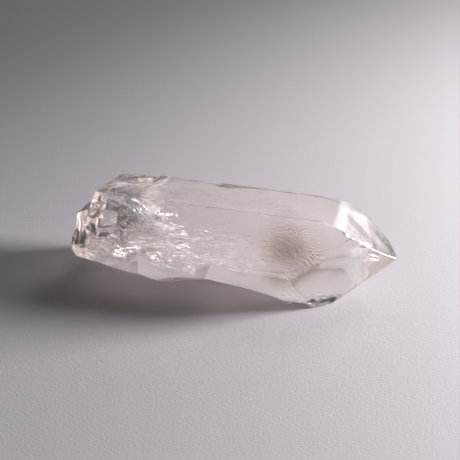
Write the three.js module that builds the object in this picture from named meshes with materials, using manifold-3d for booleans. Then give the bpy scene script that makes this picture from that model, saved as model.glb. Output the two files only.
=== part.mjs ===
// A clear quartz crystal: one six-sided prism that ends in a six-sided point and is broken off its
// matrix at the other end. Millimetres, +Z up. The c axis lies along X with the point at +X, and the
// crystal rests at z = 0 on the prism face that is lowest.
import * as THREE from 'three';
import { mergeVertices } from 'three/addons/utils/BufferGeometryUtils.js';
import Module from 'manifold-3d';

const wasm = await Module();
wasm.setup();

// --- Driving dimensions -------------------------------------------------------------------------

const AXIS_HEIGHT = 9.3; // the c axis over the face that the crystal rests on
const BLOCK_LENGTH = 80; // the block that the faces are cut from, longer and wider than the crystal
const BLOCK_WIDTH = 30;
const CUTTER_SIZE = 90; // a block that takes away all that lies beyond a face
const RHOMB_LEAN = 38.2; // degrees between a rhombohedral face of quartz and its c axis
const MIDDLE = { x: 1.905, y: -0.26 }; // of the finished crystal's box, before it is centred
const FACET = 0.75; // length of an edge on a curved fracture

// Prism faces: azimuth in degrees around the c axis (0 is away, 90 is up), and distance from it.
const PRISM = {
  top: { azimuth: 90, reach: 9.3 },
  edgeBevel: { azimuth: 132, reach: 10.19 },
  upperFront: { azimuth: 150, reach: 9.6 },
  lowerFront: { azimuth: 210, reach: 9.6 },
  base: { azimuth: 270, reach: AXIS_HEIGHT },
  lowerBack: { azimuth: 330, reach: 9.4 },
  upperBack: { azimuth: 30, reach: 8.9 },
};

// Faces of the point: each leans towards the tip and crosses its reach at X = start.
const POINT = {
  top: { azimuth: 90, reach: 9.3, lean: RHOMB_LEAN, start: 19.8 },
  upperFront: { azimuth: 150, reach: 9.6, lean: RHOMB_LEAN, start: 19.9 },
  lowerFront: { azimuth: 196.6, reach: 10.65, lean: 33.1, start: 13.75 },
  base: { azimuth: 270, reach: 9.3, lean: RHOMB_LEAN, start: 21.4 },
  lowerBack: { azimuth: 330, reach: 9.4, lean: RHOMB_LEAN, start: 22 },
  upperBack: { azimuth: 30, reach: 8.9, lean: RHOMB_LEAN, start: 24.5 },
};

// Directions that a bite can face where it isn't on one face of the crystal.
const FRONT_EDGE = { azimuth: 180 };
const BACK_EDGE = { azimuth: 0 };
const ROOT_END = { azimuth: 60, lean: -80 };

// Rough breaks: what lies beyond the point, along the normal, broke away. Relief is in mm.
const BREAKS = {
  tongue: { point: [-28, -9.4, 12], normal: [-0.99, 0.05, 0.06], relief: 0.45, phase: 1.3 },
  heel: { point: [-15, -7.2, 2.6], normal: [-0.17, -0.52, -0.84], relief: 0.2, phase: 2.1 },
};

// The upper part of the root broke off shorter: what lies beyond the wall and above the floor.
const STEP = {
  wall: { point: [-25, -4.9, 18.6], normal: [-0.97, 0.22, 0.06], relief: 0.35, phase: 0.4 },
  floor: { point: [-24.6, -6.9, 16.4], normal: [-0.42, 0.1, 0.9], relief: 0.3, phase: 2.8 },
};

// Shell-shaped bites, each on a face: the radius of its rim, its depth, how far it is drawn out along
// the face, and how it is turned on it, in degrees.
const BITES = [
  // On the front of the root.
  { at: [-22.3, -7.9, 14.9], face: PRISM.upperFront, rim: 3.8, depth: 1.5, stretch: 1.15, turn: 20 },
  { at: [-26.6, -9.9, 11.2], face: PRISM.upperFront, rim: 2.2, depth: 0.4, stretch: 1.2, turn: 75 },
  // On the edge between the two front faces.
  { at: [-4.2, -10.9, 9.2], face: FRONT_EDGE, rim: 1.7, depth: 0.55, stretch: 2.1, turn: 0 },
  { at: [1.4, -10.5, 8.3], face: PRISM.lowerFront, rim: 1.3, depth: 0.35, stretch: 2, turn: 35 },
  // On the top, beside the ledge.
  { at: [-12.7, 0.6, 18.6], face: PRISM.top, rim: 1.7, depth: 0.22, stretch: 1.5, turn: -12 },
  // Round the back and the end of the root.
  { at: [-23.4, 5.9, 12], face: PRISM.upperBack, rim: 4.4, depth: 1.3, stretch: 1.3, turn: 25 },
  { at: [-27.4, 1.6, 7.2], face: ROOT_END, rim: 4.6, depth: 1, stretch: 1.1, turn: 40 },
  { at: [-27.9, -6.4, 10.4], face: ROOT_END, rim: 2.9, depth: 0.6, stretch: 1.2, turn: -50 },
  { at: [-25.5, 7.6, 6.2], face: PRISM.lowerBack, rim: 3.6, depth: 1.1, stretch: 1.2, turn: -30 },
  { at: [-24.4, 2.4, 14.6], face: ROOT_END, rim: 2.2, depth: 0.4, stretch: 1.2, turn: 10 },
  // On the edges of the back.
  { at: [-3.5, 10.2, 9.4], face: BACK_EDGE, rim: 1.5, depth: 0.4, stretch: 2, turn: 12 },
  { at: [9.5, 10.3, 9.4], face: BACK_EDGE, rim: 0.9, depth: 0.25, stretch: 1.8, turn: -20 },
];
const RING_PITCH = 2; // of the rings that spread over a bite from the left end of its rim
const RING_HEIGHT = 0.07;
const LUMP_PITCH = 4.4;
const LUMP_HEIGHT = 0.11;

// The long hollow under the lower front edge, and how it is turned, in degrees.
const KEEL = { centre: [3.8, -11, -5], radii: [19.9, 12, 9], turn: [0, 12, 0] };

// Torn steps across the left end of the lower front face.
const HACKLES = { from: [-27.2, -10.8, 9], to: [-12.5, -9.2, 5.4], count: 9, rim: 0.9, depth: 0.4 };
const HACKLE_STRETCH = 2.6;
const HACKLE_TURN = -32;
const HACKLE_SWAY = 1.1; // how far a step strays up and down the face

// A sliver is gone from the top, left of this corner; its floor falls towards the back.
const LEDGE = { corner: [-17.9, -4.5, 18.64], size: [16, 20, 3], fall: -4, skew: -17 };

// Flat-sided chips, each on a face: half sizes along the face, up it and into it, and turn.
const CHIPS = [
  { at: [-18.2, -9.7, 11.8], face: PRISM.upperFront, size: [1.9, 3, 0.7], turn: 24 },
  { at: [24.6, -3.6, 15], face: POINT.upperFront, size: [1.4, 0.6, 0.5], turn: -30 },
  { at: [26.4, -2.9, 13.7], face: POINT.upperFront, size: [1.1, 0.7, 0.45], turn: -20 },
  { at: [27.7, -2.3, 12.6], face: POINT.top, size: [1, 0.7, 0.5], turn: 50 },
  { at: [30.5, 0.5, 7.5], face: POINT.lowerFront, size: [0.7, 0.5, 0.4], turn: 20 },
  { at: [31.9, 1.6, 9.3], face: POINT.top, size: [0.6, 0.7, 0.5], turn: 15 },
];

// --- Construction -------------------------------------------------------------------------------

const radians = THREE.MathUtils.degToRad;

/** The outward normal of a crystal face, from its azimuth and its lean towards the tip. */
function faceNormal({ azimuth, lean = 0 }) {
  const out = Math.cos(radians(lean));
  return new THREE.Vector3(
    Math.sin(radians(lean)),
    out * Math.cos(radians(azimuth)),
    out * Math.sin(radians(azimuth)),
  );
}

/** A point on a crystal face, straight out from the c axis. */
function facePoint({ azimuth, reach, start = 0 }) {
  return new THREE.Vector3(
    start,
    reach * Math.cos(radians(azimuth)),
    reach * Math.sin(radians(azimuth)) + AXIS_HEIGHT,
  );
}

/** Turns a closed three.js geometry into a solid that can be joined and cut. */
function solid(geometry) {
  const bare = geometry.clone();
  bare.deleteAttribute('normal');
  bare.deleteAttribute('uv');
  const merged = mergeVertices(bare);
  const triVerts = new Uint32Array(merged.index.array);
  const vertProperties = new Float32Array(merged.attributes.position.array);
  return new wasm.Manifold(new wasm.Mesh({ numProp: 3, vertProperties, triVerts }));
}

/** A turn of three angles in degrees, about X, then Y, then Z. */
function turned(angles) {
  return new THREE.Matrix4().makeRotationFromEuler(new THREE.Euler(...angles.map(radians), 'ZYX'));
}

/** The frame of a face: X runs along it towards the tip and Z points out of the crystal. */
function faceFrame(face) {
  const out = faceNormal(face);
  const along = new THREE.Vector3(1, 0, 0).addScaledVector(out, -out.x).normalize();
  const up = new THREE.Vector3().crossVectors(out, along);
  return new THREE.Matrix4().makeBasis(along, up, out);
}

/** The block that lies beyond a plane, on the side that its normal points to. */
function beyond(point, normal, segments = 1, height = () => 0) {
  const block = new THREE.BoxGeometry(CUTTER_SIZE, CUTTER_SIZE, CUTTER_SIZE, segments, segments, 1);
  block.translate(0, 0, CUTTER_SIZE / 2);
  const corners = block.attributes.position;
  for (let i = 0; i < corners.count; i += 1) {
    if (corners.getZ(i) < CUTTER_SIZE / 2) {
      corners.setZ(i, height(corners.getX(i), corners.getY(i)));
    }
  }
  const up = new THREE.Vector3(0, 0, 1);
  block.applyQuaternion(new THREE.Quaternion().setFromUnitVectors(up, normal.clone().normalize()));
  block.translate(point.x, point.y, point.z);
  return solid(block);
}

/** Long and short waves laid over each other, between about -1 and 1. */
function roughness(u, v, phase) {
  const long = Math.sin(0.55 * u + 0.3 * v + phase) + Math.sin(0.62 * v - 0.25 * u + 2 * phase);
  const short = Math.sin(1.7 * u - 1.1 * v + 3 * phase) * Math.sin(1.3 * v + 0.9 * u + phase);
  return 0.35 * long + 0.3 * short;
}

function roughBreak({ point, normal, relief, phase }) {
  const rough = (u, v) => relief * roughness(u, v, phase);
  return beyond(new THREE.Vector3(...point), new THREE.Vector3(...normal), 100, rough);
}

/** A ball whose facets have edges of about the FACET length. */
function ball(radius) {
  return new THREE.IcosahedronGeometry(radius, Math.ceil((1.05 * radius) / FACET));
}

/** Height of the rings and lumps on a bite, at a place measured from the middle of its floor. */
function shellRelief(x, y, rim) {
  const fromRim = Math.hypot(x + rim, y);
  const rings = Math.cos((2 * Math.PI * fromRim) / RING_PITCH);
  const lumps = Math.sin((2 * Math.PI * x) / LUMP_PITCH + rim) * Math.cos((5 * y) / LUMP_PITCH - rim);
  return Math.min(rim / 4, 1) * (RING_HEIGHT * rings + LUMP_HEIGHT * lumps);
}

/** Places a cutter, made around the origin with Z out of the crystal, on a face. */
function onFace(cutter, { at, face, turn }) {
  cutter.rotateZ(radians(turn));
  cutter.applyMatrix4(faceFrame(face));
  cutter.translate(...at);
  return solid(cutter);
}

/** A shell-shaped fracture: the cap of a ball, with rings and lumps on it. */
function bite(shape) {
  const { rim, depth, stretch } = shape;
  const radius = (rim * rim + depth * depth) / (2 * depth);
  const cap = ball(radius);
  const position = cap.attributes.position;
  for (let i = 0; i < position.count; i += 1) {
    const at = new THREE.Vector3().fromBufferAttribute(position, i);
    at.setLength(radius + shellRelief(at.x, at.y, rim));
    position.setXYZ(i, at.x, at.y, at.z);
  }
  cap.translate(0, 0, radius - depth);
  cap.scale(stretch, 1, 1);
  return onFace(cap, shape);
}

function keel({ centre, radii, turn }) {
  const hollow = ball(Math.max(...radii));
  hollow.scale(...radii.map((radius) => radius / Math.max(...radii)));
  hollow.applyMatrix4(turned(turn));
  hollow.translate(...centre);
  return solid(hollow);
}

function hackles({ from, to, count, rim, depth }) {
  const start = new THREE.Vector3(...from);
  const end = new THREE.Vector3(...to);
  const upFace = new THREE.Vector3().setFromMatrixColumn(faceFrame(PRISM.lowerFront), 1);
  return Array.from({ length: count }, (_, i) => {
    const at = start.clone().lerp(end, i / (count - 1));
    at.addScaledVector(upFace, HACKLE_SWAY * Math.sin(2.4 * i));
    return bite({
      at: at.toArray(),
      face: PRISM.lowerFront,
      rim: rim * (1 + 0.35 * Math.cos(1.7 * i)),
      depth,
      stretch: HACKLE_STRETCH,
      turn: HACKLE_TURN,
    });
  });
}

function ledge({ corner, size, fall, skew }) {
  const slab = new THREE.BoxGeometry(...size);
  slab.translate(-size[0] / 2, size[1] / 2, size[2] / 2);
  slab.applyMatrix4(turned([fall, 0, skew]));
  slab.translate(...corner);
  return solid(slab);
}

function chip(shape) {
  const pick = new THREE.OctahedronGeometry(1);
  pick.scale(...shape.size);
  return onFace(pick, shape);
}

const faces = [...Object.values(PRISM), ...Object.values(POINT)];
const cutters = [
  ...faces.map((face) => beyond(facePoint(face), faceNormal(face))),
  ...Object.values(BREAKS).map(roughBreak),
  roughBreak(STEP.wall).intersect(roughBreak(STEP.floor)),
  ledge(LEDGE),
  keel(KEEL),
  ...BITES.map(bite),
  ...hackles(HACKLES),
  ...CHIPS.map(chip),
];

const block = new THREE.BoxGeometry(BLOCK_LENGTH, BLOCK_WIDTH, BLOCK_WIDTH);
let crystal = solid(block.translate(0, 0, AXIS_HEIGHT));
for (const cutter of cutters) {
  crystal = crystal.subtract(cutter);
}

const shape = crystal.getMesh();
const geometry = new THREE.BufferGeometry();
const corners = new Float32Array(shape.vertProperties);
geometry.setAttribute('position', new THREE.BufferAttribute(corners, 3));
geometry.setIndex(new THREE.BufferAttribute(new Uint32Array(shape.triVerts), 1));
geometry.translate(-MIDDLE.x, -MIDDLE.y, 0);
geometry.computeVertexNormals();

const quartz = new THREE.MeshStandardMaterial({
  color: 0xeee4e2,
  roughness: 0.05,
  metalness: 0,
  transparent: true,
  opacity: 0.45,
});
const quartzCrystal = new THREE.Mesh(geometry, quartz);
quartzCrystal.name = 'quartz_crystal';

const group = new THREE.Group();
group.add(quartzCrystal);
export default group;
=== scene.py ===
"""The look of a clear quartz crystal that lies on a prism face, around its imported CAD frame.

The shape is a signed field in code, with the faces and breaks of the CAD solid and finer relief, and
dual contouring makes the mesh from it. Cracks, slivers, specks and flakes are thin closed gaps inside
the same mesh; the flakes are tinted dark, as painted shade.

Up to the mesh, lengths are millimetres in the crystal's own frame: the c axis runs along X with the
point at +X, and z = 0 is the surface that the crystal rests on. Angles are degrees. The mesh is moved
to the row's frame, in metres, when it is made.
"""
import math

import bpy
import numpy as np
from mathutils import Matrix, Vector


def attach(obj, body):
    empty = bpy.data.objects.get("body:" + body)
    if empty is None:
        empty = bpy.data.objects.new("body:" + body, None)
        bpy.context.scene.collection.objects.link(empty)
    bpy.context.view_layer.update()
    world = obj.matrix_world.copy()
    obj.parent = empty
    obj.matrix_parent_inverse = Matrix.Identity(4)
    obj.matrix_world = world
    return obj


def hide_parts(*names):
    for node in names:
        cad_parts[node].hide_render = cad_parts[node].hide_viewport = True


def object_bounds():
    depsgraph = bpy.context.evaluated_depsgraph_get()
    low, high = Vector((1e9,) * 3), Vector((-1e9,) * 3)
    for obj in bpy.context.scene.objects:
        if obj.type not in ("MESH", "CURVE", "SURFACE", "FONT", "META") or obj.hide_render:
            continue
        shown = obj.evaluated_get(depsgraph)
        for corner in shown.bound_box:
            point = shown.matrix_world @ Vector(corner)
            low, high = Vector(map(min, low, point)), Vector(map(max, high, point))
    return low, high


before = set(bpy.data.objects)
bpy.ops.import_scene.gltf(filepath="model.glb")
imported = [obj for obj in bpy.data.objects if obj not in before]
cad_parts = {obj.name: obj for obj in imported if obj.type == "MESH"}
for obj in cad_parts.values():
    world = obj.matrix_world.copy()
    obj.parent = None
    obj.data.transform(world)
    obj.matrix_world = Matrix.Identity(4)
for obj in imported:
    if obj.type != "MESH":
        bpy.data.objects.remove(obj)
cad_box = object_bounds()

MM = 0.001
TINY = 1e-12  # keeps a division away from zero
MIDDLE = np.array([1.905, -0.26, 0.0])  # of the crystal's box, before the row's frame centred it
AXIS_HEIGHT = 9.3
RHOMB_LEAN = 38.2  # from a prism face of quartz to the face of the point above it

# --------------------------------------------------- faces, breaks and bites, nearly as in the CAD

# azimuth round the c axis, lean towards the tip, distance from the axis, X where it has that distance
PRISM = {
    "top": (90, 0, 9.3, 0),
    "edge_bevel": (132, 0, 10.19, 0),
    "upper_front": (150, 0, 9.6, 0),
    "lower_front": (210, 0, 9.6, 0),
    "base": (270, 0, AXIS_HEIGHT, 0),
    "lower_back": (330, 0, 9.4, 0),
    "upper_back": (30, 0, 8.9, 0),
}
POINT = {
    "top": (90, RHOMB_LEAN, 9.3, 19.8),
    "upper_front": (150, RHOMB_LEAN, 9.6, 19.9),
    "lower_front": (196.6, 33.1, 10.65, 13.75),
    "base": (270, RHOMB_LEAN, 9.3, 21.4),
    "lower_back": (330, RHOMB_LEAN, 9.4, 22.0),
    "upper_back": (30, RHOMB_LEAN, 8.9, 24.5),
}

# azimuth and lean of the directions that bites are taken from, besides the faces
FRONT_EDGE = (180, 0)
BACK_EDGE = (0, 0)
ROOT_END = (60, -80)

# the broken root: point, outward normal, relief, phase
TONGUE = ((-28, -9.4, 12), (-0.99, 0.05, 0.06), 0.45, 1.3)
HEEL = ((-15, -7.2, 2.6), (-0.17, -0.52, -0.84), 0.2, 2.1)
STEP_WALL = ((-25, -4.9, 18.6), (-0.97, 0.22, 0.06), 0.35, 0.4)
STEP_FLOOR = ((-24.6, -6.9, 16.4), (-0.42, 0.1, 0.9), 0.3, 2.8)

# place, face, rim, depth, stretch, turn
BITES = [
    ((-22.3, -7.9, 14.9), PRISM["upper_front"], 3.8, 1.5, 1.15, 20),
    ((-26.6, -9.9, 11.2), PRISM["upper_front"], 2.6, 0.4, 1.25, 75),
    ((-4.2, -10.9, 9.2), FRONT_EDGE, 1.7, 0.55, 2.1, 0),
    ((1.4, -10.5, 8.3), PRISM["lower_front"], 1.3, 0.35, 2, 35),
    ((-12.7, 0.6, 18.6), PRISM["top"], 1.7, 0.22, 1.5, -12),
    ((-23.4, 5.9, 12), PRISM["upper_back"], 4.4, 1.3, 1.3, 25),
    ((-27.4, 1.6, 7.2), ROOT_END, 4.6, 1, 1.1, 40),
    ((-27.9, -6.4, 10.4), ROOT_END, 2.9, 0.6, 1.2, -50),
    ((-25.5, 7.6, 6.2), PRISM["lower_back"], 3.6, 1.1, 1.2, -30),
    ((-24.4, 2.4, 14.6), ROOT_END, 2.2, 0.4, 1.2, 10),
    ((-3.5, 10.4, 9.4), BACK_EDGE, 1.3, 0.25, 2, 12),
    ((9.5, 10.5, 9.4), BACK_EDGE, 0.8, 0.15, 1.8, -20),
]
RING_PITCH = 2.0
RING_HEIGHT = 0.02
LUMP_PITCH = 4.4
LUMP_HEIGHT = 0.04
FULL_RELIEF_RIM = 4  # smaller bites have lower rings and lumps
NEAR_BITE = 2.5  # how far outside its rim a bite is still worked out

# the row of small bites along the rough fracture of the lower front
HACKLE_FROM = (-27.2, -10.8, 9)
HACKLE_TO = (-12.5, -9.2, 5.4)
HACKLE_COUNT = 9
HACKLE_RIM = 0.9
HACKLE_DEPTH = 0.4
HACKLE_STRETCH = 2.6
HACKLE_TURN = -32
HACKLE_SWAY = 1.1  # up and down the face
HACKLE_VARY = 0.35  # of the rim's size

# the long shallow hollow under the lower front edge, cut by an ellipsoid
KEEL_CENTRE = (3.8, -11, -5)
KEEL_RADII = (19.9, 12, 9)
KEEL_TURN = 12

# the ledge: above its floor and to the left of its corner the top is gone
LEDGE_CORNER = (-17.9, -4.5, 18.64)
LEDGE_FALL = -4
LEDGE_SKEW = -17

# place, face, half sizes, turn
CHIPS = [
    ((22.6, -4.6, 16.2), POINT["upper_front"], (0.9, 0.5, 0.45), -42),
    ((23.6, -3.9, 15.7), POINT["top"], (0.8, 0.6, 0.45), 10),
    ((24.6, -3.6, 15), POINT["upper_front"], (1.4, 0.6, 0.5), -30),
    ((25.6, -3.1, 14.4), POINT["top"], (0.7, 0.5, 0.45), -35),
    ((26.4, -2.9, 13.7), POINT["upper_front"], (1.1, 0.7, 0.45), -20),
    ((27.7, -2.3, 12.6), POINT["top"], (1, 0.7, 0.5), 50),
    ((30.5, 0.5, 7.5), POINT["lower_front"], (0.7, 0.5, 0.4), 20),
    ((31.9, 1.6, 9.3), POINT["top"], (0.6, 0.7, 0.5), 15),
]
NEAR_CHIP = 0.5  # how far outside its half size a chip is still worked out

# ------------------------------------------------------------------------ finer forms, not in the CAD

# pairs of flat cuts, each a point and an outward normal; only what lies outside both is gone
NOTCHES = [
    (((-16.1, -10.9, 9.6), (-0.224, -0.886, 0.405)), ((-19.9, -10.0, 11.0), (0.765, -0.644, 0.032))),
    (((-12.0, -9.6, 6.6), (-0.28, -0.90, -0.42)), ((-17.0, -9.8, 7.6), (0.5, -0.75, -0.5))),
    (((1.8, -9.9, 7.2), (-0.22, -0.91, -0.36)), ((-4.2, -9.5, 6.4), (0.35, -0.80, -0.55))),
]

# shallow hollows grown into a face: middle, face, half length, half width, depth
HOLLOWS = [
    ((10.5, 8.2, 5.4), PRISM["lower_back"], 4.6, 5.0, 0.9),
]
HOLLOW_FALL = 2.2  # how fast its depth fades outwards
HOLLOW_REACH = 4  # from its face; beyond it nothing is hollowed

SWELL = 0.04
SWELL_SINK = 0.09  # keeps nearly all of the swells under the flat face

# how far ridges and rims are rounded
EDGE = 0.14  # most ridges between faces
RIM = 0.3  # rims of breaks, bites and notches
SHOULDER = 2.0  # where the top and the upper front turn into the point
BACK_SHOULDER = 1.5  # where the upper back does
LOWER_BACK_SHOULDER = 0.6
LOWER_FRONT_SHOULDER = 1.0
BASE_SHOULDER = 1.2
LOWER_FRONT_EDGE = 0.5
REST_EDGE = 0.6  # round the face that it rests on

# ------------------------------------------------------------------------------------ the shape field


def unit(vector):
    vector = np.asarray(vector, float)
    return vector / np.linalg.norm(vector)


def units(vectors):
    return vectors / np.maximum(np.linalg.norm(vectors, axis=1, keepdims=True), TINY)


def normal_of(face):
    azimuth, lean = math.radians(face[0]), math.radians(face[1])
    out = math.cos(lean)
    return np.array([math.sin(lean), out * math.cos(azimuth), out * math.sin(azimuth)])


def place_of(face):
    azimuth, reach, start = math.radians(face[0]), face[2], face[3]
    return np.array([start, reach * math.cos(azimuth), reach * math.sin(azimuth) + AXIS_HEIGHT])


def face_frame(face, turn):
    """Columns: along the face towards the tip, up the face, and out of the crystal."""
    out = normal_of(face)
    along = np.array([1.0, 0.0, 0.0]) - out[0] * out
    along /= np.linalg.norm(along)
    up = np.cross(out, along)
    c, s = math.cos(math.radians(turn)), math.sin(math.radians(turn))
    return np.column_stack([c * along + s * up, c * up - s * along, out])


def plane(p, point, normal):
    return (p - np.asarray(point, float)) @ unit(normal)


def smooth_max(a, b, radius):
    """The larger of two fields, with the ridge where they meet rounded off."""
    gap = np.maximum(radius - np.abs(a - b), 0.0)
    return np.maximum(a, b) + gap * gap / (4 * radius)


def uneven(u, v, phase):
    """Uneven relief of a break, from long and short waves that cross each other."""
    long = np.sin(0.55 * u + 0.3 * v + phase) + np.sin(0.62 * v - 0.25 * u + 2 * phase)
    short = np.sin(1.7 * u - 1.1 * v + 3 * phase) * np.sin(1.3 * v + 0.9 * u + phase)
    return 0.35 * long + 0.1 * short


def rough_break(p, spec):
    """Positive on the side that broke away."""
    point, normal, relief, phase = spec
    n = unit(normal)
    q = p - np.asarray(point, float)
    axis = np.cross([0.0, 0.0, 1.0], n)
    sine, cosine = np.linalg.norm(axis), n[2]
    axis = axis / sine
    k = np.array([[0, -axis[2], axis[1]], [axis[2], 0, -axis[0]], [-axis[1], axis[0], 0]])
    turn = np.eye(3) + sine * k + (1 - cosine) * (k @ k)
    local = q @ turn
    return local[:, 2] - relief * uneven(local[:, 0], local[:, 1], phase)


def bite(p, spec):
    """Positive outside the bite, negative inside it."""
    at, face, rim, depth, stretch, turn = spec
    radius = (rim * rim + depth * depth) / (2 * depth)
    local = (p - np.asarray(at, float)) @ face_frame(face, turn)
    x, y, z = local[:, 0] / stretch, local[:, 1], local[:, 2] - (radius - depth)
    rings = np.cos(2 * np.pi * np.hypot(x + rim, y) / RING_PITCH)
    lumps = np.sin(2 * np.pi * x / LUMP_PITCH + rim) * np.cos(5 * y / LUMP_PITCH - rim)
    relief = min(rim / FULL_RELIEF_RIM, 1) * (RING_HEIGHT * rings + LUMP_HEIGHT * lumps)
    return np.sqrt(x * x + y * y + z * z) - radius - relief


def hackles():
    """The bites of the rough fracture, which sway up and down the face and vary in size."""
    up = face_frame(PRISM["lower_front"], 0)[:, 1]
    start, end = np.array(HACKLE_FROM, float), np.array(HACKLE_TO, float)
    for i in range(HACKLE_COUNT):
        at = start + (end - start) * i / (HACKLE_COUNT - 1) + up * HACKLE_SWAY * math.sin(2.4 * i)
        rim = HACKLE_RIM * (1 + HACKLE_VARY * math.cos(1.7 * i))
        yield (at, PRISM["lower_front"], rim, HACKLE_DEPTH, HACKLE_STRETCH, HACKLE_TURN)


ALL_BITES = BITES + list(hackles())


def keel(p):
    """Below zero inside the ellipsoid that cuts the hollow."""
    q = p - np.asarray(KEEL_CENTRE, float)
    c, s = math.cos(math.radians(KEEL_TURN)), math.sin(math.radians(KEEL_TURN))
    local = np.column_stack([c * q[:, 0] - s * q[:, 2], q[:, 1], s * q[:, 0] + c * q[:, 2]])
    return (np.linalg.norm(local / np.asarray(KEEL_RADII, float), axis=1) - 1) * min(KEEL_RADII)


def ledge(p):
    """Below zero where the top is gone."""
    q = p - np.asarray(LEDGE_CORNER, float)
    fall, skew = math.radians(LEDGE_FALL), math.radians(LEDGE_SKEW)
    along = np.array([math.cos(skew), math.sin(skew), 0])
    across = np.array([-math.sin(skew), math.cos(skew), 0])
    floor_normal = across * -math.sin(fall) + np.array([0, 0, math.cos(fall)])
    return np.maximum(q @ along, -(q @ floor_normal))


def notch(p, cuts):
    """Above zero outside both flat cuts, where the crystal is gone."""
    one, two = cuts
    return np.minimum(plane(p, *one), plane(p, *two))


def chip(p, spec):
    """Below zero inside a chip, which has eight flat sides."""
    at, face, size, turn = spec
    local = (p - np.asarray(at, float)) @ face_frame(face, turn)
    return (np.abs(local) / np.asarray(size, float)).sum(axis=1) * min(size) - min(size)


def wave(p, face, height, phase):
    """Gentle swells that a grown face has, in mm, from its own sine waves along and across it."""
    local = p @ face_frame(face, 0)
    x, y = local[:, 0], local[:, 1]
    slow = np.sin(0.32 * x + 0.5 * y + phase) + np.sin(0.21 * x - 0.62 * y + 2.3 * phase)
    fast = np.sin(0.75 * x + 0.35 * y + 3.1 * phase) * np.sin(0.9 * y - 0.2 * x + phase)
    return height * (slow + 0.6 * fast)


def hollow(p, spec):
    """How deep a smooth hollow lies under its face, in mm."""
    at, face, half_length, half_width, depth = spec
    local = (p - np.asarray(at, float)) @ face_frame(face, 0)
    reach = (local[:, 0] / half_length) ** 2 + (local[:, 1] / half_width) ** 2
    return depth * np.exp(-HOLLOW_FALL * reach) * (np.abs(local[:, 2]) < HOLLOW_REACH)


def grown(p, face, number):
    """Distance outside one crystal face, swells included, which the face's number makes its own."""
    return plane(p, place_of(face), normal_of(face)) + wave(p, face, SWELL, 1.7 * number) + SWELL_SINK


def field(p):
    """Below zero inside the crystal, above zero outside, near enough a distance in mm."""
    top = smooth_max(grown(p, PRISM["top"], 1), grown(p, POINT["top"], 2), SHOULDER)
    top = smooth_max(top, grown(p, PRISM["edge_bevel"], 3), EDGE)
    front = smooth_max(grown(p, PRISM["upper_front"], 4), grown(p, POINT["upper_front"], 5), SHOULDER)
    front = smooth_max(front, grown(p, POINT["lower_front"], 6), LOWER_FRONT_SHOULDER)
    f = smooth_max(top, front, EDGE)
    f = smooth_max(f, grown(p, PRISM["lower_front"], 7), LOWER_FRONT_EDGE)
    back = smooth_max(grown(p, PRISM["upper_back"], 8), grown(p, POINT["upper_back"], 9), BACK_SHOULDER)
    back = smooth_max(back, grown(p, POINT["lower_back"], 10), LOWER_BACK_SHOULDER)
    lower_back = grown(p, PRISM["lower_back"], 11) + sum(hollow(p, spec) for spec in HOLLOWS)
    back = smooth_max(back, lower_back, EDGE)
    f = smooth_max(f, back, EDGE)
    f = smooth_max(f, grown(p, POINT["base"], 12), BASE_SHOULDER)
    f = smooth_max(f, plane(p, place_of(PRISM["base"]), normal_of(PRISM["base"])), REST_EDGE)
    f = smooth_max(f, rough_break(p, TONGUE), RIM)
    f = smooth_max(f, rough_break(p, HEEL), RIM)
    f = smooth_max(f, np.minimum(rough_break(p, STEP_WALL), rough_break(p, STEP_FLOOR)), RIM)
    f = smooth_max(f, -ledge(p), EDGE)
    f = smooth_max(f, -keel(p), RIM)
    for spec in ALL_BITES:
        at, _, rim, _, stretch, _ = spec
        near = np.abs(p - np.asarray(at, float)).max(axis=1) < rim * stretch + NEAR_BITE
        f[near] = smooth_max(f[near], -bite(p[near], spec), RIM)
    for cuts in NOTCHES:
        f = smooth_max(f, notch(p, cuts), RIM)
    for spec in CHIPS:
        at, _, size, _ = spec
        near = np.abs(p - np.asarray(at, float)).max(axis=1) < max(size) + NEAR_CHIP
        f[near] = np.maximum(f[near], -chip(p[near], spec))
    return f


# -------------------------------------------------------------------------- from the field to a mesh

CELL = 0.34
LOW = np.array([-29.0, -11.6, -0.4])  # corners of the grid
HIGH = np.array([32.8, 11.1, 19.1])
BOX = np.array(cad_box) / MM + MIDDLE
STEP = 0.004  # to the side, for the field's slope
COARSE = 4  # cells of the grid in one step of the coarse grid that finds where the surface is
COARSE_MARGIN = 0.5  # added to a coarse step, where the surface may be
CROSSING_STEPS = 5
CROSSING_MARGIN = 0.02  # share of an edge that a guess keeps from its ends
FLAT_SHARE = 0.04  # a cell's faces must turn more than this to move its vertex off their middle
CELL_SLACK = 0.05  # cells that a vertex may leave its own cell by


def gradient(p):
    """Unit direction in which the field grows fastest."""
    here = field(p)
    g = np.stack([field(p + STEP * np.eye(3)[axis]) - here for axis in range(3)], axis=1)
    return units(g)


def grid_values():
    """The field on the grid, worked out only near the surface and coarse elsewhere."""
    blocks = np.ceil((HIGH - LOW) / (CELL * COARSE)).astype(int) + 1
    axes = [LOW[k] + CELL * COARSE * (np.arange(blocks[k]) + 0.5) for k in range(3)]
    centre = np.stack(np.meshgrid(*axes, indexing="ij"), axis=-1).reshape(-1, 3)
    values = field(centre).reshape(blocks)
    for axis in range(3):
        values = np.repeat(values, COARSE, axis)
    near = np.abs(values) < COARSE * CELL + COARSE_MARGIN
    values[near] = field(LOW + CELL * np.argwhere(near))
    return values


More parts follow.
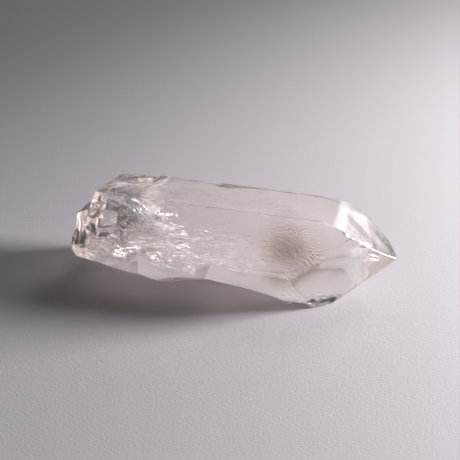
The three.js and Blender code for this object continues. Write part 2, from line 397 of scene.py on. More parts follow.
def crossings(values, axis):
    """Grid edges along an axis whose ends lie on two sides of the surface, and where they cross it."""
    ahead = np.roll(values, -1, axis)
    cross = (values < 0) != (ahead < 0)
    last = [slice(None)] * 3
    last[axis] = -1
    cross[tuple(last)] = False
    cell = np.argwhere(cross)
    start = LOW + cell * CELL
    direction = CELL * np.eye(3)[axis]
    near, far = np.zeros(len(cell)), np.ones(len(cell))
    f_near, f_far = values[cross], ahead[cross]
    for turn in range(CROSSING_STEPS):
        share = np.clip(f_near / (f_near - f_far), CROSSING_MARGIN, 1 - CROSSING_MARGIN)
        t = near + (far - near) * share
        if turn % 2:
            t = (near + far) / 2
        f = field(start + t[:, None] * direction)
        same = (f < 0) == (f_near < 0)
        near, f_near = np.where(same, t, near), np.where(same, f, f_near)
        far, f_far = np.where(same, far, t), np.where(same, f_far, f)
    t = near + (far - near) * f_near / (f_near - f_far)
    return cell, values[cross] < 0, start + t[:, None] * direction


def contour():
    """Vertices and outward quads of the surface, with its sharp edges kept (dual contouring)."""
    values = grid_values()
    cells = np.array(values.shape)
    total = int(cells.prod())
    normal_sum = np.zeros((total, 3, 3))
    right_side = np.zeros((total, 3))
    point_sum = np.zeros((total, 3))
    weight = np.zeros(total)
    quads = []
    for axis in range(3):
        cell, leaving, place = crossings(values, axis)
        n = gradient(place)
        one, two = (axis + 1) % 3, (axis + 2) % 3
        corner = []
        for step_one, step_two in ((0, 0), (-1, 0), (-1, -1), (0, -1)):
            c = cell.copy()
            c[:, one] += step_one
            c[:, two] += step_two
            index = np.ravel_multi_index(c.T, cells)
            corner.append(index)
            np.add.at(normal_sum, index, n[:, :, None] * n[:, None, :])
            np.add.at(right_side, index, n * (n * place).sum(axis=1)[:, None])
            np.add.at(point_sum, index, place)
            np.add.at(weight, index, 1.0)
        quad = np.column_stack(corner)
        quads.append(np.where(leaving[:, None], quad, quad[:, ::-1]))
    quads = np.concatenate(quads)
    used = np.unique(quads)
    centre = point_sum[used] / weight[used][:, None]
    a = normal_sum[used]
    b = right_side[used] - np.einsum("nij,nj->ni", a, centre)
    sizes, vectors = np.linalg.eigh(a)
    strong = sizes > FLAT_SHARE * sizes[:, -1:]
    inverse = np.where(strong, 1 / np.where(strong, sizes, 1), 0)
    move = np.einsum("nij,nj,nkj,nk->ni", vectors, inverse, vectors, b)
    low = LOW + np.stack(np.unravel_index(used, cells), axis=-1) * CELL
    vertex = np.clip(centre + move, low - CELL_SLACK * CELL, low + (1 + CELL_SLACK) * CELL)
    vertex = np.clip(vertex, BOX[0], BOX[1])
    order = np.zeros(total, int)
    order[used] = np.arange(len(used))
    return vertex, order[quads]


def split(vertex, quads):
    """Cuts each quad along the diagonal that follows the surface better."""

    def fit(triangles):
        p = vertex[triangles]
        flat = units(np.cross(p[:, 1] - p[:, 0], p[:, 2] - p[:, 0]))
        return (flat * gradient(p.mean(axis=1))).sum(axis=1)

    one = (quads[:, [0, 1, 2]], quads[:, [0, 2, 3]])
    two = (quads[:, [0, 1, 3]], quads[:, [1, 2, 3]])
    better = np.minimum(fit(one[0]), fit(one[1])) >= np.minimum(fit(two[0]), fit(two[1]))
    return np.concatenate([np.where(better[:, None], one[i], two[i]) for i in range(2)])


# ------------------------------------------------------------------ cracks and veils in the crystal

SKIN = 0.3  # of sound quartz between most gaps and the surface
SEED = 7
STREWN = 0.5  # spread of what is strewn, as a share of its region's half size

CRACK_PITCH = 0.34  # between the rings of a crack's mesh
# lobes of a crack's outline: waves round it, how many times the phase, height
CRACK_LOBES = ((3, 1, 0.16), (5, 2, 0.1), (11, 3, 0.06))
RIPPLE_PITCH = 0.9
TRIM_FROM = 0.08  # shares of a crack's reach from here to 1 are tried for the skin
TRIM_TRIALS = 24
TRIM_BACK = 0.04  # and it ends so much before the first that lies bare
TRIM_PASSES = 8
TRIM_EASE = 0.01  # by which a neighbour may reach further, once the trimmed rim is smoothed

# normals, and directions square to them for the long side
UP_FRONT = (0.3, -0.37, 0.88)
RIGHTWARD = (0.765, -0.456, 0.456)  # mirrors the window towards the front
RIGHTWARD_LEVEL = (0.63, 0.66, -0.40)
# these mirror the soft patch of the sky towards the front, from behind a face: high up behind the
# front, low down behind it, behind the top and behind the lower front
GLINT_HIGH = (0.290, -0.217, 0.932)
GLINT_LOW = (0.404, 0.023, 0.914)
GLINT_TOP = (0.300, 0.248, 0.921)
GLINT_LOWER = (0.636, -0.179, 0.750)
# and these look level from the front
GLINT_HIGH_LEVEL = (0.916, 0.343, -0.205)
GLINT_LOW_LEVEL = (0.745, 0.574, -0.343)
GLINT_TOP_LEVEL = (0.655, 0.650, -0.388)
GLINT_LOWER_LEVEL = (0.646, 0.655, -0.391)
GLINT_HIGH_FALLING = (0.741, -0.566, -0.362)  # looks as if it fell steeply to the right

# place, normal, direction of the long side, half length, half width, phase, swell, relief, gape
CRACKS = [
    ((-16.0, -4.6, 16.2), UP_FRONT, (1, 0, 0), 3.2, 2.2, 0.3),
    ((-14.2, -5.2, 14.6), (0.2, -0.5, 0.84), (1, 0.1, 0), 4.2, 2.0, 1.1),
    ((-11.5, -4.4, 16.0), (0.35, -0.4, 0.84), (1, 0.2, 0), 2.8, 1.7, 3.1),
    ((-13.5, -5.4, 14.2), (0.15, -0.45, 0.88), (1, 0, 0), 2.6, 1.2, 4.0),
    ((-18.6, -3.0, 13.4), (-0.6, -0.5, 0.6), (0.3, 1, 0), 3.6, 2.6, 0.9),
    ((-16.6, 1.0, 15.4), (0.95, 0.25, 0.1), (0, 1, 0), 4.4, 2.6, 1.9),
    ((-12.6, 2.4, 15.8), (0.2, -0.3, 0.93), (1, 0.3, 0), 3.6, 2.4, 2.8),
    ((-8.0, 1.5, 16.3), (0.1, -0.35, 0.93), (1, 0.1, 0), 3.4, 1.8, 3.7),
    ((-20.0, 0.0, 9.0), (-0.8, -0.3, 0.5), (0, 1, 0.2), 4.4, 3.4, 4.6),
    ((-17.5, 4.0, 11.5), (0.5, 0.4, 0.76), (1, -0.5, 0), 3.8, 2.4, 1.4),
    ((-16.9, -5.6, 16.0), GLINT_HIGH, GLINT_HIGH_FALLING, 2.4, 0.9, 0.5, 0.08, 0.05),
    ((-14.4, -5.8, 16.0), GLINT_HIGH, GLINT_HIGH_FALLING, 2.0, 0.5, 1.7, 0.08, 0.05),
    ((-11.8, -5.4, 16.6), RIGHTWARD, (1, 0.6, -0.8), 1.6, 0.5, 2.9),
    ((-11.0, -8.0, 9.6), (0.3, -0.75, 0.6), (1, 0.3, 0.1), 4.5, 1.0, 2.0),
    ((23.0, -2.6, 10.0), (0.6, -0.7, 0.2), (0.3, 0.2, -1), 5.5, 5.0, 0.7, 1.4, 0.012),
    ((24.5, -2.4, 13.4), (0.2, -0.4, 0.88), (1, 0.1, -0.3), 2.6, 0.9, 2.4, 0.2),
]

# slivers strewn behind the faces: middle and half size of the region, how many, normal, long side, width
SLIVERS = [
    ((-11.5, -7.0, 13.4), (6.5, 0.9, 2.6), 260, GLINT_HIGH, GLINT_HIGH_LEVEL, 0.26),
    ((-11.0, -8.4, 10.0), (7.0, 0.9, 2.4), 280, GLINT_LOW, GLINT_LOW_LEVEL, 0.26),
    ((-15.2, -6.0, 15.6), (2.8, 0.7, 1.6), 50, GLINT_HIGH, GLINT_HIGH_FALLING, 0.3),
    ((-0.5, -7.0, 13.6), (9.0, 0.8, 2.6), 450, GLINT_HIGH, GLINT_HIGH_LEVEL, 0.06),
    ((-0.5, -8.4, 10.4), (9.0, 0.8, 2.4), 550, GLINT_LOW, GLINT_LOW_LEVEL, 0.06),
    ((-22.0, -8.4, 8.4), (4.5, 0.9, 1.6), 110, GLINT_LOWER, GLINT_LOWER_LEVEL, 0.2),
    ((-21.5, -5.0, 12.0), (3.5, 3.5, 3.5), 40, GLINT_LOW, GLINT_LOW_LEVEL, 0.2),
    ((-10.0, -8.8, 7.0), (7.0, 0.9, 1.4), 170, GLINT_LOWER, GLINT_LOWER_LEVEL, 0.2),
    ((20.0, -4.6, 2.6), (5.0, 1.2, 1.2), 90, RIGHTWARD, RIGHTWARD_LEVEL, 0.12),
    ((28.0, -1.3, 10.8), (1.6, 0.8, 1.4), 20, RIGHTWARD, RIGHTWARD_LEVEL, 0.2),
    ((-16.0, 0.0, 16.8), (6.0, 4.0, 0.8), 200, GLINT_TOP, GLINT_TOP_LEVEL, 0.12),
    ((-20.5, -0.5, 16.4), (4.5, 4.0, 1.0), 170, GLINT_TOP, GLINT_TOP_LEVEL, 0.14),
    ((25.0, 1.0, 12.8), (3.0, 3.5, 1.6), 110, GLINT_TOP, GLINT_HIGH_FALLING, 0.08),
    ((4.0, -0.5, 17.2), (11.0, 4.0, 0.7), 400, GLINT_TOP, GLINT_TOP_LEVEL, 0.04),
]
SLIVER_TILT = 0.035  # radians that the normals vary by
SLIVER_SWAY = 0.12  # and the long sides
SLIVER_GAPE = 0.015
SLIVER_LENGTHS = (0.4, 1.5)
SLIVER_WIDTHS = (0.35, 1)  # share of the region's width
SLIVER_CORNERS = np.array([1, -1, 1, -1, 1, -1])[:, None]  # both ends of each of the three arms
SLIVER_FACES = np.array([
    [0, 2, 4], [2, 1, 4], [1, 3, 4], [3, 0, 4],
    [2, 0, 5], [1, 2, 5], [3, 1, 5], [0, 3, 5],
])

# place, normal, direction of the long side, half length, half width, how many specks
VEILS = [
    ((-12.0, -6.4, 12.0), (0.3, -0.8, 0.5), (1, 0.1, 0.1), 6.0, 3.6, 300),
    ((-13.0, -8.4, 10.6), (0.3, -0.8, 0.5), (1, 0.1, 0.1), 6.0, 3.0, 600),
    ((-10.0, -4.0, 12.5), (0.3, -0.5, 0.8), (1, 0.1, 0.1), 9.0, 3.6, 120),
    ((-3.0, -3.4, 13.5), (0.25, -0.6, 0.75), (1, 0, 0.15), 8.0, 3.0, 120),
    ((-16.0, 0.0, 12.0), (0.8, -0.2, 0.5), (0, 1, 0), 6.0, 5.0, 200),
    ((-20.5, -0.6, 15.6), (0.3, -0.2, 0.9), (1, 0, 0), 5.0, 5.0, 200),
    ((12.4, -6.6, 12.0), (0.5, -0.6, 0.6), (0.3, 0.2, 1), 2.6, 1.6, 90),
    ((28.0, -1.2, 10.8), (0.2, -0.6, 0.7), (1, 0.3, -0.4), 2.4, 1.4, 70),
]
VEIL_THICKNESS = 0.06
SPECK = 0.05
SPECK_SIZES = (0.5, 1.4)
SPECK_CORNERS = np.array([[1, 1, 0.6], [-1, -1, 0.6], [-1, 1, -0.6], [1, -1, -0.6]], float)
SPECK_FACES = np.array([[0, 2, 1], [0, 1, 3], [0, 3, 2], [1, 2, 3]])

# fine lines of bruises: start, bend, end, spread across the line, size and number of the specks
SEAMS = [
    ((-24.0, -4.78, 18.3), (-2.0, -4.72, 18.3), (19.5, -4.78, 18.3), 0.03, 0.9, 2600),
    ((19.8, -6.6, 16.2), (18.6, -9.6, 11.6), (13.4, -9.9, 9.6), 0.25, 1.1, 500),
    ((27.0, -2.6, 12.2), (25.4, -5.0, 8.2), (20.6, -6.6, 6.6), 0.25, 1.2, 1000),
    ((14.0, -6.2, 1.2), (19.5, -4.8, 1.2), (24.5, -3.6, 3.8), 0.35, 1.0, 500),
]

# a cloud of dark flakes, painted shade for a dark patch seen through the point: place, normal, direction
# of the long side, half length, half width, how many flakes
SHADE_CLOUD = ((12.6, -3.9, 10.8), (0.05, 0.85, -0.1), (0.2, 0.1, 1), 8.0, 8.6, 9000)
SHADE_CLOUD_DEPTH = 1.6
SHADE_CLOUD_SPREAD = 0.42  # of the bell curve that the flakes thin out by, as a share of the half sizes
SHADE_CLOUD_KEPT = 0.94  # share of that curve within the half sizes
SHADE_CLOUD_ROUGH = 0.1  # spread across the sheet, as a share of the depth
EVEN = (0.7548776662, 0.5698402910)  # steps of a sequence that fills a square evenly
FLAKE = 0.055
FLAKE_FADE = 0.7  # the outmost flakes are so much smaller
FLAKE_SIZES = (0.7, 1.3)
FLAKE_TILT = 0.05
FLAT = 0.03  # a flake's half thickness, as a share of its size
FLAKE_CORNERS = SPECK_CORNERS * (1, 1, FLAT / abs(SPECK_CORNERS[0, 2]))


def sheet_axes(normal, along):
    """Directions along a sheet's long side, across it, and out of it."""
    out = unit(normal)
    x_axis = np.asarray(along, float)
    x_axis = unit(x_axis - (x_axis @ out) * out)
    return x_axis, np.cross(out, x_axis), out


def inward(faces, corners, count):
    """Triangles of so many small bodies alike, turned inward, as the faces of a gap are."""
    return (faces[:, ::-1] + corners * np.arange(count)[:, None, None]).reshape(-1, 3)


def crack_relief(x, y, half_length, half_width, phase, swell, relief):
    """How far a crack's middle lies from its plane: a slow bend, ripples round one end and feathering."""
    arcs = np.hypot(x + half_length, y)
    bend = swell * np.cos(1.3 * x / half_width + phase) * np.cos(y / half_width)
    ripple = relief * np.cos(2 * np.pi * arcs / RIPPLE_PITCH + 1.5 * np.sin(y + phase))
    feather = relief * np.sin(5.2 * y + 1.5 * np.sin(0.9 * x + phase))
    return bend + ripple + feather


def crack_faces(rings, segments):
    """Triangles of a crack, whose vertices are its upper rings, lower rings, rim and two middles."""
    inner = (rings - 1) * segments
    k = np.arange(segments)
    faces = []
    for side in range(2):
        ring = [side * inner + number * segments + k for number in range(rings - 1)] + [2 * inner + k]
        middle = np.full(segments, 2 * inner + segments + side)
        sheet = [np.column_stack([middle, ring[0], np.roll(ring[0], -1)])]
        for near, far in zip(ring, ring[1:]):
            near_next, far_next = np.roll(near, -1), np.roll(far, -1)
            sheet.append(np.column_stack([near, far, far_next]))
            sheet.append(np.column_stack([near, far_next, near_next]))
        sheet = np.concatenate(sheet)
        faces.append(sheet if side else sheet[:, ::-1])
    return np.concatenate(faces)


def crack(at, normal, along, half_length, half_width, phase, swell=0.25, relief=0.03, gape=0.05):
    """A closed lens-shaped gap, thin as a leaf, that stops short of the surface."""
    x_axis, y_axis, out = sheet_axes(normal, along)
    rings = max(4, int(half_length / CRACK_PITCH))
    segments = 4 * rings
    angle = 2 * np.pi * np.arange(segments) / segments
    edge = 1.0
    for waves, turns, height in CRACK_LOBES:
        edge = edge + height * np.sin(waves * angle + turns * phase)
    edge_x = half_length * np.cos(angle) * edge
    edge_y = half_width * np.sin(angle) * edge

    def to_space(x, y, lift):
        height = crack_relief(x, y, half_length, half_width, phase, swell, relief) + lift
        return np.asarray(at, float) + np.outer(x, x_axis) + np.outer(y, y_axis) + np.outer(height, out)

    # the sheet stops short of where it would come too near the surface
    tried = np.linspace(TRIM_FROM, 1, TRIM_TRIALS)
    trial = to_space(np.outer(tried, edge_x).ravel(), np.outer(tried, edge_y).ravel(), 0.0)
    bare = field(trial).reshape(TRIM_TRIALS, segments) > -SKIN
    reach = np.where(bare, tried[:, None] - TRIM_BACK, 1.0).min(axis=0)
    for _ in range(TRIM_PASSES):
        evened = (np.roll(reach, 1) + reach + np.roll(reach, -1)) / 3
        reach = np.minimum(reach, evened + TRIM_EASE)
    outwards = np.linspace(0, 1, rings + 1)[1:]
    x = np.outer(outwards, reach * edge_x).ravel()
    y = np.outer(outwards, reach * edge_y).ravel()
    lift = gape * np.sqrt(np.maximum(1 - np.repeat(outwards, segments) ** 2, 0))
    inner = (rings - 1) * segments
    upper = to_space(x[:inner], y[:inner], lift[:inner])
    lower = to_space(x[:inner], y[:inner], -lift[:inner])
    rim = to_space(x[inner:], y[inner:], 0.0)
    centre = np.zeros(1)
    middles = [to_space(centre, centre, gape), to_space(centre, centre, -gape)]
    return np.concatenate([upper, lower, rim] + middles), crack_faces(rings, segments)


def slivers(random, middle, half_size, count, normal, along, widest):
    """Thin diamond-shaped splits, turned nearly alike so that they mirror one patch of light."""
    at = np.asarray(middle, float) + random.normal(0, STREWN, (count, 3)) * half_size
    out = normal + random.normal(0, SLIVER_TILT, (count, 3))
    out /= np.linalg.norm(out, axis=1, keepdims=True)
    x_axis = along + random.normal(0, SLIVER_SWAY, (count, 3))
    x_axis -= (x_axis * out).sum(axis=1, keepdims=True) * out
    x_axis /= np.linalg.norm(x_axis, axis=1, keepdims=True)
    y_axis = np.cross(out, x_axis)
    length = random.uniform(*SLIVER_LENGTHS, (count, 1))
    width = widest * random.uniform(*SLIVER_WIDTHS, (count, 1))
    arms = np.stack([length * x_axis, width * y_axis, SLIVER_GAPE * out], axis=1)
    vertex = at[:, None, :] + np.repeat(arms, 2, axis=1) * SLIVER_CORNERS
    corners = len(SLIVER_CORNERS)
    inside = (field(vertex.reshape(-1, 3)).reshape(count, corners) < -SKIN).all(axis=1)
    vertex = vertex[inside]
    return vertex.reshape(-1, 3), inward(SLIVER_FACES, corners, len(vertex))


def specks(random, place, reach=SPECK):
    """A tiny four-sided gap at each place, each turned its own way."""
    size = reach * random.uniform(*SPECK_SIZES, (len(place), 1, 1))
    turn = np.linalg.qr(random.normal(size=(len(place), 3, 3)))[0]
    turn *= np.sign(np.linalg.det(turn))[:, None, None]
    vertex = place[:, None, :] + size * np.einsum("cj,njk->nck", SPECK_CORNERS, turn)
    return vertex.reshape(-1, 3), inward(SPECK_FACES, len(SPECK_CORNERS), len(place))


def veil(random, at, normal, along, half_length, half_width, count):
    """Specks of gas and liquid strewn over one gently bent, healed crack."""
    x_axis, y_axis, out = sheet_axes(normal, along)
    x, y = (random.normal(0, STREWN, (count, 2)) * (half_length, half_width)).T
    height = 0.5 * np.sin(0.5 * x) + 0.3 * np.sin(1.1 * y) + random.normal(0, VEIL_THICKNESS, count)
    place = np.asarray(at, float) + np.outer(x, x_axis) + np.outer(y, y_axis)
    place += np.outer(height, out)
    return specks(random, place[field(place) < -SKIN])


def seam(random, start, bend, end, spread, size, count):
    """Specks along a curved line."""
    t = random.uniform(0, 1, (count, 1))
    corners = np.array([start, bend, end], float)
    place = (1 - t) ** 2 * corners[0] + 2 * t * (1 - t) * corners[1] + t ** 2 * corners[2]
    place += random.normal(0, spread, (count, 3))
    return specks(random, place[field(place) < -2 * SPECK], size * SPECK)


def flakes(random, at, normal, along, half_length, half_width, count):
    """Tiny dark flakes that lie nearly parallel; together they are painted shade, a soft dark patch."""
    axes = np.stack(sheet_axes(normal, along))
    number = np.arange(count)[:, None] * EVEN % 1.0
    reach = SHADE_CLOUD_SPREAD * np.sqrt(-2 * np.log(1 - SHADE_CLOUD_KEPT * number[:, 0]))
    spin = 2 * np.pi * number[:, 1]
    across = random.normal(0, SHADE_CLOUD_ROUGH, count)
    spread = np.column_stack([reach * np.cos(spin), reach * np.sin(spin), across])
    place = np.asarray(at, float) + (spread * (half_length, half_width, SHADE_CLOUD_DEPTH)) @ axes
    inside = field(place) < -2 * SKIN
    place, reach = place[inside], reach[inside]
    angle = random.uniform(0, 2 * np.pi, len(place))
    turn = np.zeros((len(place), 3, 3))
    turn[:, 0, 0] = np.cos(angle)
    turn[:, 0, 1] = np.sin(angle)
    turn[:, 1, 0] = -np.sin(angle)
    turn[:, 1, 1] = np.cos(angle)
    turn[:, 2, 2] = 1
    turn[:, :2, 2] = random.normal(0, FLAKE_TILT, (len(place), 2))
    faded = FLAKE * (1 - FLAKE_FADE * reach[:, None, None] ** 2)
    size = faded * random.uniform(*FLAKE_SIZES, (len(place), 1, 1))
    vertex = place[:, None, :] + size * np.einsum("cj,njk,kl->ncl", FLAKE_CORNERS, turn, axes)
    return vertex.reshape(-1, 3), inward(SPECK_FACES, len(SPECK_CORNERS), len(place))


def inner_faces():
    """All that lies inside the crystal, the flakes of painted shade last, and how many triangles those
    have.
    """
    random = np.random.default_rng(SEED)
    pieces = [crack(*spec) for spec in CRACKS] + [veil(random, *spec) for spec in VEILS]
    pieces += [slivers(random, *spec) for spec in SLIVERS]
    pieces += [seam(random, *spec) for spec in SEAMS] + [flakes(random, *SHADE_CLOUD)]
    vertex, faces, count = [], [], 0
    for piece_vertex, piece_faces in pieces:
        vertex.append(piece_vertex)
        faces.append(piece_faces + count)
        count += len(piece_vertex)
    return np.concatenate(vertex), np.concatenate(faces), len(faces[-1])


# ------------------------------------------------------------------------------------- the one mesh

GAP_SLOT = 1
# slot of the dark flakes, which are painted shade
SHADE_FLAKE_SLOT = 2
CORNER_PULL = 0.25  # from its corner towards the triangle's middle, where the corner's normal is read
EDGE_ON = 0.8  # cosine; a face keeps its own normal where the smooth one leans further from it


def outer_normals(vertex, triangles):
    """Normals of the triangles' corners, from the field's slope just inside each triangle."""
    corner = vertex[triangles]
    middle = corner.mean(axis=1, keepdims=True)
    return gradient((corner + (middle - corner) * CORNER_PULL).reshape(-1, 3))


def gap_normals(vertex, triangles):
    """Normals of the gaps' corners: smooth over their sheets and sharp at their rims."""
    side = vertex[triangles]
    flat = np.cross(side[:, 1] - side[:, 0], side[:, 2] - side[:, 0])
    smooth = np.zeros((len(vertex), 3))
    for k in range(3):
        np.add.at(smooth, triangles[:, k], flat)
    normals = units(smooth)[triangles]
    flat = units(flat)
    edge_on = (normals * flat[:, None, :]).sum(axis=2) < EDGE_ON
    normals[edge_on] = np.repeat(flat[:, None, :], 3, axis=1)[edge_on]
    return normals.reshape(-1, 3)


def crystal_mesh():
    """The outer skin and the gaps inside it, in the row's frame, with a material slot for each kind."""
    vertex, quads = contour()
    triangles = split(vertex, quads)
    inner_vertex, inner, shade_triangles = inner_faces()
    everything = np.concatenate([vertex, inner_vertex])
    faces = np.concatenate([triangles, inner + len(vertex)])
    normals = np.concatenate([outer_normals(vertex, triangles), gap_normals(inner_vertex, inner)])
    mesh = bpy.data.meshes.new("quartz_crystal_fine")
    mesh.from_pydata(((everything - MIDDLE) * MM).tolist(), [], faces.tolist())
    mesh.shade_smooth()
    mesh.normals_split_custom_set(normals.tolist())
    slot = np.zeros(len(faces), int)
    slot[len(triangles):] = GAP_SLOT
    # the last triangles are the dark flakes of painted shade
    slot[len(slot) - shade_triangles:] = SHADE_FLAKE_SLOT
    mesh.polygons.foreach_set("material_index", slot)
    return mesh


crystal = bpy.data.objects.new("crystal", crystal_mesh())
bpy.context.scene.collection.objects.link(crystal)
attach(crystal, "root")
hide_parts("quartz_crystal")

# ---------------------------------------------------------------------------------------- materials

QUARTZ_IOR = 1.544
CLEAR = (1, 1, 1, 1)
# painted shade: the dark colour of the flakes in the point
SHADE_FLAKE_COLOR = (0.66, 0.56, 0.46, 1)
GAP_ROUGHNESS = 0.2
SHADE_FLAKE_ROUGHNESS = 0.4
TINT = (0.98, 0.77, 0.7, 1)
TINT_DENSITY = 21  # densities are for a metre
HAZE_DENSITY = 18

# patterns: features in a metre, detail, squeeze along the crystal's axes
POLISH = (260, 4)
GROWTH = (100, 3, (9, 0.7, 0.7))  # lines across the prism
STREAKS = (90, 2, (0.35, 2.5, 2.5))  # and along it
BREAKAGE = (1500, 2, (0.4, 1.2, 1.2))
GRAIN = (2200, 2)  # of the floor

# lengths from here on are metres
POLISH_FROM, POLISH_TO = 0.35, 0.7  # of its pattern
BEST_POLISH, WORST_POLISH = 0.01, 0.05
SCUFFED_BELOW, SOUND_ABOVE = 0.0001, 0.0004
SCUFF_ROUGHNESS = 0.4
ROOT_TO, ROOT_FADES_AT = -0.0245, -0.0185
GROWTH_STRENGTH, GROWTH_HEIGHT = 0.25, 0.0001
STREAK_STRENGTH, STREAK_HEIGHT = 0.35, 0.0002
BREAKAGE_STRENGTH, BREAKAGE_HEIGHT = 0.05, 0.0002


def feed(tree, socket, value):
    """Sets a socket to a plain number, or links it to a pattern."""
    if isinstance(value, (int, float)):
        socket.default_value = value
    else:
        tree.links.new(value, socket)


def ramp(tree, value, start, end, at_start, at_end):
    """A number that eases from one level to another while a value runs from start to end."""
    node = tree.nodes.new("ShaderNodeMapRange")
    node.interpolation_type = "SMOOTHSTEP"
    levels = {"From Min": start, "From Max": end, "To Min": at_start, "To Max": at_end}
    for name, level in levels.items():
        node.inputs[name].default_value = level
    tree.links.new(value, node.inputs["Value"])
    return node.outputs["Result"]


def combine(tree, operation, one, two):
    """A number worked out from a pattern and another pattern or a plain number."""
    node = tree.nodes.new("ShaderNodeMath")
    node.operation = operation
    tree.links.new(one, node.inputs[0])
    feed(tree, node.inputs[1], two)
    return node.outputs["Value"]


def facing(tree, vector, direction):
    """How far a vector reaches in a direction."""
    node = tree.nodes.new("ShaderNodeVectorMath")
    node.operation = "DOT_PRODUCT"
    node.inputs[1].default_value = direction
    tree.links.new(vector, node.inputs[0])
    return node.outputs["Value"]


def noise(tree, where, scale, detail, squeeze=(1, 1, 1)):
    """A noise pattern with so many features in a metre, squeezed along some axes."""
    place = tree.nodes.new("ShaderNodeMapping")
    place.inputs["Scale"].default_value = squeeze
    tree.links.new(where, place.inputs["Vector"])
    pattern = tree.nodes.new("ShaderNodeTexNoise")
    pattern.inputs["Scale"].default_value = scale
    pattern.inputs["Detail"].default_value = detail
    tree.links.new(place.outputs["Vector"], pattern.inputs["Vector"])
    return pattern.outputs["Fac"]


def bump(tree, height, strength, distance, below=None):
    """A relief on top of another one; its strength is a plain number or a pattern."""
    node = tree.nodes.new("ShaderNodeBump")
    node.inputs["Distance"].default_value = distance
    tree.links.new(height, node.inputs["Height"])
    feed(tree, node.inputs["Strength"], strength)
    if below is not None:
        tree.links.new(below, node.inputs["Normal"])
    return node.outputs["Normal"]


def new_material(name):
    material = bpy.data.materials.new(name)
    material.use_nodes = True
    return material, material.node_tree, material.node_tree.nodes["Principled BSDF"]


def see_through(shader, color):
    shader.inputs["Base Color"].default_value = color
    shader.inputs["Transmission Weight"].default_value = 1
    shader.inputs["IOR"].default_value = QUARTZ_IOR


def quartz_material():
    """Clear quartz: growth lines, soft streaks, finer breakage at the root, uneven polish, thin haze."""
    material, tree, shader = new_material("quartz")
    see_through(shader, CLEAR)
    where = tree.nodes.new("ShaderNodeTexCoord").outputs["Object"]
    axes = tree.nodes.new("ShaderNodeSeparateXYZ")
    tree.links.new(where, axes.inputs["Vector"])
    polish = ramp(tree, noise(tree, where, *POLISH), POLISH_FROM, POLISH_TO, BEST_POLISH, WORST_POLISH)
    scuffed = ramp(tree, axes.outputs["Z"], SCUFFED_BELOW, SOUND_ABOVE, SCUFF_ROUGHNESS, 0.0)
    tree.links.new(combine(tree, "ADD", polish, scuffed), shader.inputs["Roughness"])
    lines = bump(tree, noise(tree, where, *GROWTH), GROWTH_STRENGTH, GROWTH_HEIGHT)
    streaks = bump(tree, noise(tree, where, *STREAKS), STREAK_STRENGTH, STREAK_HEIGHT, lines)
    at_root = ramp(tree, axes.outputs["X"], ROOT_TO, ROOT_FADES_AT, BREAKAGE_STRENGTH, 0.0)
    relief = bump(tree, noise(tree, where, *BREAKAGE), at_root, BREAKAGE_HEIGHT, streaks)
    tree.links.new(relief, shader.inputs["Normal"])
    tint = tree.nodes.new("ShaderNodeVolumeAbsorption")
    tint.inputs["Color"].default_value = TINT
    tint.inputs["Density"].default_value = TINT_DENSITY
    haze = tree.nodes.new("ShaderNodeVolumeScatter")
    haze.inputs["Color"].default_value = CLEAR
    haze.inputs["Density"].default_value = HAZE_DENSITY
    haze.inputs["Anisotropy"].default_value = 0.0
    body = tree.nodes.new("ShaderNodeAddShader")
    tree.links.new(tint.outputs["Volume"], body.inputs[0])
    tree.links.new(haze.outputs["Volume"], body.inputs[1])
    tree.links.new(body.outputs["Shader"], tree.nodes["Material Output"].inputs["Volume"])
    return material


def gap_material(name, color, roughness):
    """The faces of the gaps, which look inward, so that light leaves the quartz through them."""
    material, _, shader = new_material(name)
    see_through(shader, color)
    shader.inputs["Roughness"].default_value = roughness
    return material


# in the order of the slots
crystal.data.materials.append(quartz_material())
crystal.data.materials.append(gap_material("quartz_gap", CLEAR, GAP_ROUGHNESS))
# the dark flakes' material is painted shade
crystal.data.materials.append(gap_material("quartz_painted_shade", SHADE_FLAKE_COLOR, SHADE_FLAKE_ROUGHNESS))

# -------------------------------------------------------------------------------- floor and lights

FLOOR_SIZE = 3
FLOOR_NEAR = (0.31, 0.288, 0.31, 1)
# painted shade: the floor colour darkens towards the left and back, where the light falls off and the
# crystal's shadow lies
FLOOR_PAINTED_SHADE = (0.15, 0.143, 0.153, 1)
PAINTED_SHADE_TOWARDS = (-0.85, 0.5, 0)
PAINTED_SHADE_FROM, PAINTED_SHADE_TO = 0.015, 0.15
FLOOR_ROUGHNESS = 0.55
FLOOR_SPECULAR = 0.25
GRAIN_STRENGTH, GRAIN_HEIGHT = 0.15, 0.0002

SKY = 0.6  # radiance low down behind the crystal
SKY_COLOR = (1.0, 0.98, 1.0, 1)
# share of that along each axis, right, back and up: from, to, share at the first, share at the second
SKY_X = (-0.8, -0.1, 0.8, 1.0)
SKY_Y = (0.0, 0.7, 0.1, 1.0)
SKY_Z = (0.1, 0.5, 1.0, 0.3)
GLOW = 4.2  # radiance of the soft patch that the top face of the point mirrors
GLOW_TOWARDS = (0.40, 0.85, 0.345)
GLOW_RIM = 0.981  # cosine of its half width

LIGHTS_AIM = (0, 0, 0.01)


def floor_material():
    """A pale matt surface with fine grain, with painted shade that darkens it towards the far left, where
    the light falls off.
    """
    material, tree, shader = new_material("floor")
    shader.inputs["Roughness"].default_value = FLOOR_ROUGHNESS
    shader.inputs["Specular IOR Level"].default_value = FLOOR_SPECULAR
    where = tree.nodes.new("ShaderNodeTexCoord").outputs["Object"]
    towards_shade = facing(tree, where, PAINTED_SHADE_TOWARDS)
    shade_mix = tree.nodes.new("ShaderNodeMix")
    shade_mix.data_type = "RGBA"
    factor, near, far = shade_mix.inputs[0], shade_mix.inputs[6], shade_mix.inputs[7]
    near.default_value = FLOOR_NEAR
    far.default_value = FLOOR_PAINTED_SHADE
    tree.links.new(ramp(tree, towards_shade, PAINTED_SHADE_FROM, PAINTED_SHADE_TO, 0, 1), factor)
    tree.links.new(shade_mix.outputs[2], shader.inputs["Base Color"])
    grain = bump(tree, noise(tree, where, *GRAIN), GRAIN_STRENGTH, GRAIN_HEIGHT)
    tree.links.new(grain, shader.inputs["Normal"])
    return material


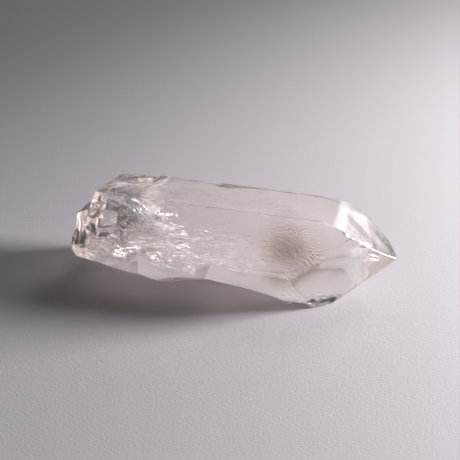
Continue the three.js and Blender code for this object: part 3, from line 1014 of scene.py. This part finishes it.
def light_sky():
    """Brightest low down behind the crystal and to its right, dim overhead and in front."""
    world = bpy.data.worlds.new("world")
    bpy.context.scene.world = world
    world.use_nodes = True
    tree = world.node_tree
    axes = tree.nodes.new("ShaderNodeSeparateXYZ")
    towards = tree.nodes.new("ShaderNodeTexCoord").outputs["Generated"]
    tree.links.new(towards, axes.inputs["Vector"])
    radiance = ramp(tree, axes.outputs["Y"], *SKY_Y)
    upward = ramp(tree, axes.outputs["Z"], *SKY_Z)
    rightward = ramp(tree, axes.outputs["X"], *SKY_X)
    for factor in (upward, rightward, SKY):
        radiance = combine(tree, "MULTIPLY", radiance, factor)
    glow = ramp(tree, facing(tree, towards, GLOW_TOWARDS), GLOW_RIM, 1.0, 0.0, GLOW)
    background = tree.nodes["Background"]
    tree.links.new(combine(tree, "ADD", radiance, glow), background.inputs["Strength"])
    background.inputs["Color"].default_value = SKY_COLOR


def soft_light(name, place, size, power):
    """A small rectangle that shines at the crystal."""
    data = bpy.data.lights.new(name, "AREA")
    data.shape = "RECTANGLE"
    data.size, data.size_y = size
    data.energy = power
    light = bpy.data.objects.new(name, data)
    bpy.context.scene.collection.objects.link(light)
    light.location = place
    light.rotation_mode = "QUATERNION"
    light.rotation_quaternion = (Vector(LIGHTS_AIM) - Vector(place)).to_track_quat("-Z", "Y")


bpy.ops.mesh.primitive_plane_add(size=FLOOR_SIZE)
floor = bpy.context.object
floor.name = "floor"
floor.data.materials.append(floor_material())
light_sky()
soft_light("window", (0.275, 0.095, 0.085), (0.1, 0.1), 4.7)
soft_light("high", (0.12, 0.2, 0.28), (0.15, 0.12), 0.35)

# ------------------------------------------------------------------------------ camera and settings

VIEW_AZIMUTH = math.radians(15)
VIEW_ELEVATION = math.radians(30)
VIEW_DISTANCE = 0.21
FOCAL_PIXELS = 1100
IMAGE_PIXELS = 460  # width and height of the photo
BELOW_PIXELS = 10  # from the middle of the photo down to the view's centre
SENSOR = 36
NEAREST = 0.01  # that the camera sees
VIEW_CENTRE = np.array([0, 0, 9])  # in the crystal's own frame and millimetres

target = Vector(VIEW_CENTRE - MIDDLE) * MM
towards_camera = Vector((
    math.sin(VIEW_AZIMUTH) * math.cos(VIEW_ELEVATION),
    -math.cos(VIEW_AZIMUTH) * math.cos(VIEW_ELEVATION),
    math.sin(VIEW_ELEVATION),
))
camera_data = bpy.data.cameras.new("camera")
camera_data.sensor_width = SENSOR
camera_data.lens = SENSOR * FOCAL_PIXELS / IMAGE_PIXELS
camera_data.clip_start = NEAREST
camera = bpy.data.objects.new("camera", camera_data)
bpy.context.scene.collection.objects.link(camera)
camera.rotation_mode = "QUATERNION"
camera.rotation_quaternion = (-towards_camera).to_track_quat("-Z", "Y")
camera_up = camera.rotation_quaternion @ Vector((0, 1, 0))
aim_above = BELOW_PIXELS / FOCAL_PIXELS * VIEW_DISTANCE
camera.location = target + camera_up * aim_above + towards_camera * VIEW_DISTANCE
bpy.context.scene.camera = camera

# light passes through many gaps and faces on its way
scene = bpy.context.scene
scene.view_settings.view_transform = "Standard"
scene.cycles.use_denoising = True
scene.cycles.max_bounces = 32
scene.cycles.volume_bounces = 12
scene.cycles.transmission_bounces = 32
scene.cycles.glossy_bounces = 12
